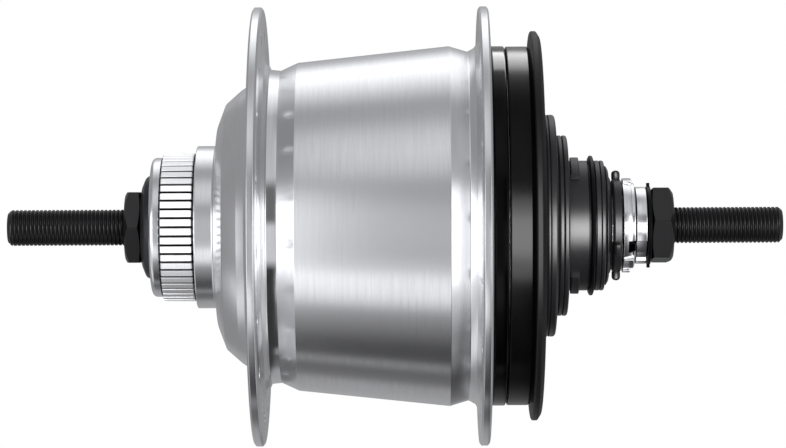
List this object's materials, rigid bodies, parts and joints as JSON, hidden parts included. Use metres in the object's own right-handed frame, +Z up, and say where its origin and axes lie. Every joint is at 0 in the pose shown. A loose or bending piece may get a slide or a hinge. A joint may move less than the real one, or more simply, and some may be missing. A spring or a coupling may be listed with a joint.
{
  "type": "bicycle hub gear",
  "caption": "Rear bicycle hub with an internal epicyclic gear, two drilled spoke flanges, a splined disc-rotor seat, a lugged sprocket seat and a threaded axle.",
  "frame": {"origin": "middle of the axle, on its axis", "axes": "+Y along the axle towards the disc-rotor side, +X forward along the bicycle, +Z up"},
  "size_m": [0.106, 0.187, 0.106],
  "materials": {
    "shell_aluminium": "brushed and clear-coated",
    "black_painted": "gloss black",
    "black_plastic": "satin black",
    "black_steel": "black oxide, slightly oiled",
    "bright_steel": "bright zinc",
    "gear_steel": "case-hardened, oiled",
    "spring_steel": "blued"
  },
  "bodies": {
    "axle_unit": {"axle": "black_steel", "locknut_left": "black_steel", "locknut_right": "black_steel", "cone_left": "bright_steel", "cone_right": "bright_steel", "dust_cap_left": "black_plastic", "guide_collar": "bright_steel", "stop_washer": "black_steel", "sun_1": "gear_steel", "sun_4": "gear_steel", "return_spring": "spring_steel"},
    "shell": {"hub_shell": "shell_aluminium", "end_ring": "black_painted", "drum_cover": "black_painted", "cup_left": "bright_steel", "ring_gear_2": "gear_steel"},
    "driver": {"driver": "black_steel", "snap_ring": "black_steel", "dust_cap_right": "black_plastic", "ring_gear_1": "gear_steel"},
    "carrier": {"carrier_right": "gear_steel", "carrier_centre": "gear_steel", "carrier_left": "gear_steel", "pin_1a": "bright_steel", "pin_1b": "bright_steel", "pin_1c": "bright_steel", "pin_2a": "bright_steel", "pin_2b": "bright_steel", "pin_2c": "bright_steel"},
    "planet_1a": {"planet_1a": "gear_steel"},
    "planet_1b": {"planet_1b": "gear_steel"},
    "planet_1c": {"planet_1c": "gear_steel"},
    "planet_2a": {"planet_2a": "gear_steel"},
    "planet_2b": {"planet_2b": "gear_steel"},
    "planet_2c": {"planet_2c": "gear_steel"},
    "sun_2": {"sun_2": "gear_steel"},
    "sun_3": {"sun_3": "gear_steel"},
    "retainer_left": {"retainer_left": "bright_steel"},
    "retainer_shell": {"retainer_shell": "bright_steel"},
    "retainer_driver": {"retainer_driver": "bright_steel"},
    "cam": {"cam_tube": "spring_steel", "shift_ring": "bright_steel", "lever_ring": "black_plastic"}
  },
  "joints": [
    {"name": "hub_spin", "type": "hinge", "parent": "axle_unit", "child": "shell", "pos_m": [0, 0, 0], "axis": [0, 1, 0], "continuous": true},
    {"name": "driver_spin", "type": "hinge", "parent": "axle_unit", "child": "driver", "pos_m": [0, 0, 0], "axis": [0, 1, 0], "continuous": true},
    {"name": "carrier_spin", "type": "hinge", "parent": "axle_unit", "child": "carrier", "pos_m": [0, 0, 0], "axis": [0, 1, 0], "continuous": true},
    {"name": "planet_1a_spin", "type": "hinge", "parent": "carrier", "child": "planet_1a", "pos_m": [0, 0, 0.024], "axis": [0, 1, 0], "continuous": true},
    {"name": "planet_1b_spin", "type": "hinge", "parent": "carrier", "child": "planet_1b", "pos_m": [0.02078, 0, -0.012], "axis": [0, 1, 0], "continuous": true},
    {"name": "planet_1c_spin", "type": "hinge", "parent": "carrier", "child": "planet_1c", "pos_m": [-0.02078, 0, -0.012], "axis": [0, 1, 0], "continuous": true},
    {"name": "planet_2a_spin", "type": "hinge", "parent": "carrier", "child": "planet_2a", "pos_m": [0.01819, 0, 0.0105], "axis": [0, 1, 0], "continuous": true},
    {"name": "planet_2b_spin", "type": "hinge", "parent": "carrier", "child": "planet_2b", "pos_m": [0, 0, -0.021], "axis": [0, 1, 0], "continuous": true},
    {"name": "planet_2c_spin", "type": "hinge", "parent": "carrier", "child": "planet_2c", "pos_m": [-0.01819, 0, 0.0105], "axis": [0, 1, 0], "continuous": true},
    {"name": "sun_2_spin", "type": "hinge", "parent": "axle_unit", "child": "sun_2", "pos_m": [0, 0, 0], "axis": [0, 1, 0], "continuous": true},
    {"name": "sun_3_spin", "type": "hinge", "parent": "axle_unit", "child": "sun_3", "pos_m": [0, 0, 0], "axis": [0, 1, 0], "continuous": true},
    {"name": "retainer_left_spin", "type": "hinge", "parent": "axle_unit", "child": "retainer_left", "pos_m": [0, 0, 0], "axis": [0, 1, 0], "continuous": true},
    {"name": "retainer_shell_spin", "type": "hinge", "parent": "axle_unit", "child": "retainer_shell", "pos_m": [0, 0, 0], "axis": [0, 1, 0], "continuous": true},
    {"name": "retainer_driver_spin", "type": "hinge", "parent": "axle_unit", "child": "retainer_driver", "pos_m": [0, 0, 0], "axis": [0, 1, 0], "continuous": true},
    {"name": "shift_turn", "type": "hinge", "parent": "axle_unit", "child": "cam", "pos_m": [0, 0, 0], "axis": [0, 1, 0], "range_deg": [0, 157.5], "stiffness_Nm_per_rad": 0.04, "springref_deg": -34.38}
  ],
  "couplings": [
    {"joint": "driver_spin", "follows": "hub_spin", "ratio": 1.1576},
    {"joint": "carrier_spin", "follows": "hub_spin", "ratio": 0.615},
    {"joint": "planet_1a_spin", "follows": "hub_spin", "ratio": 1.845},
    {"joint": "planet_1b_spin", "follows": "hub_spin", "ratio": 1.845},
    {"joint": "planet_1c_spin", "follows": "hub_spin", "ratio": 1.845},
    {"joint": "planet_2a_spin", "follows": "hub_spin", "ratio": 1.435},
    {"joint": "planet_2b_spin", "follows": "hub_spin", "ratio": 1.435},
    {"joint": "planet_2c_spin", "follows": "hub_spin", "ratio": 1.435},
    {"joint": "sun_2_spin", "follows": "hub_spin", "ratio": -1.025},
    {"joint": "sun_3_spin", "follows": "hub_spin", "ratio": -0.34167},
    {"joint": "retainer_left_spin", "follows": "hub_spin", "ratio": 0.60891},
    {"joint": "retainer_shell_spin", "follows": "hub_spin", "ratio": 1.0706},
    {"joint": "retainer_driver_spin", "follows": "hub_spin", "ratio": 0.67923}
  ]
}
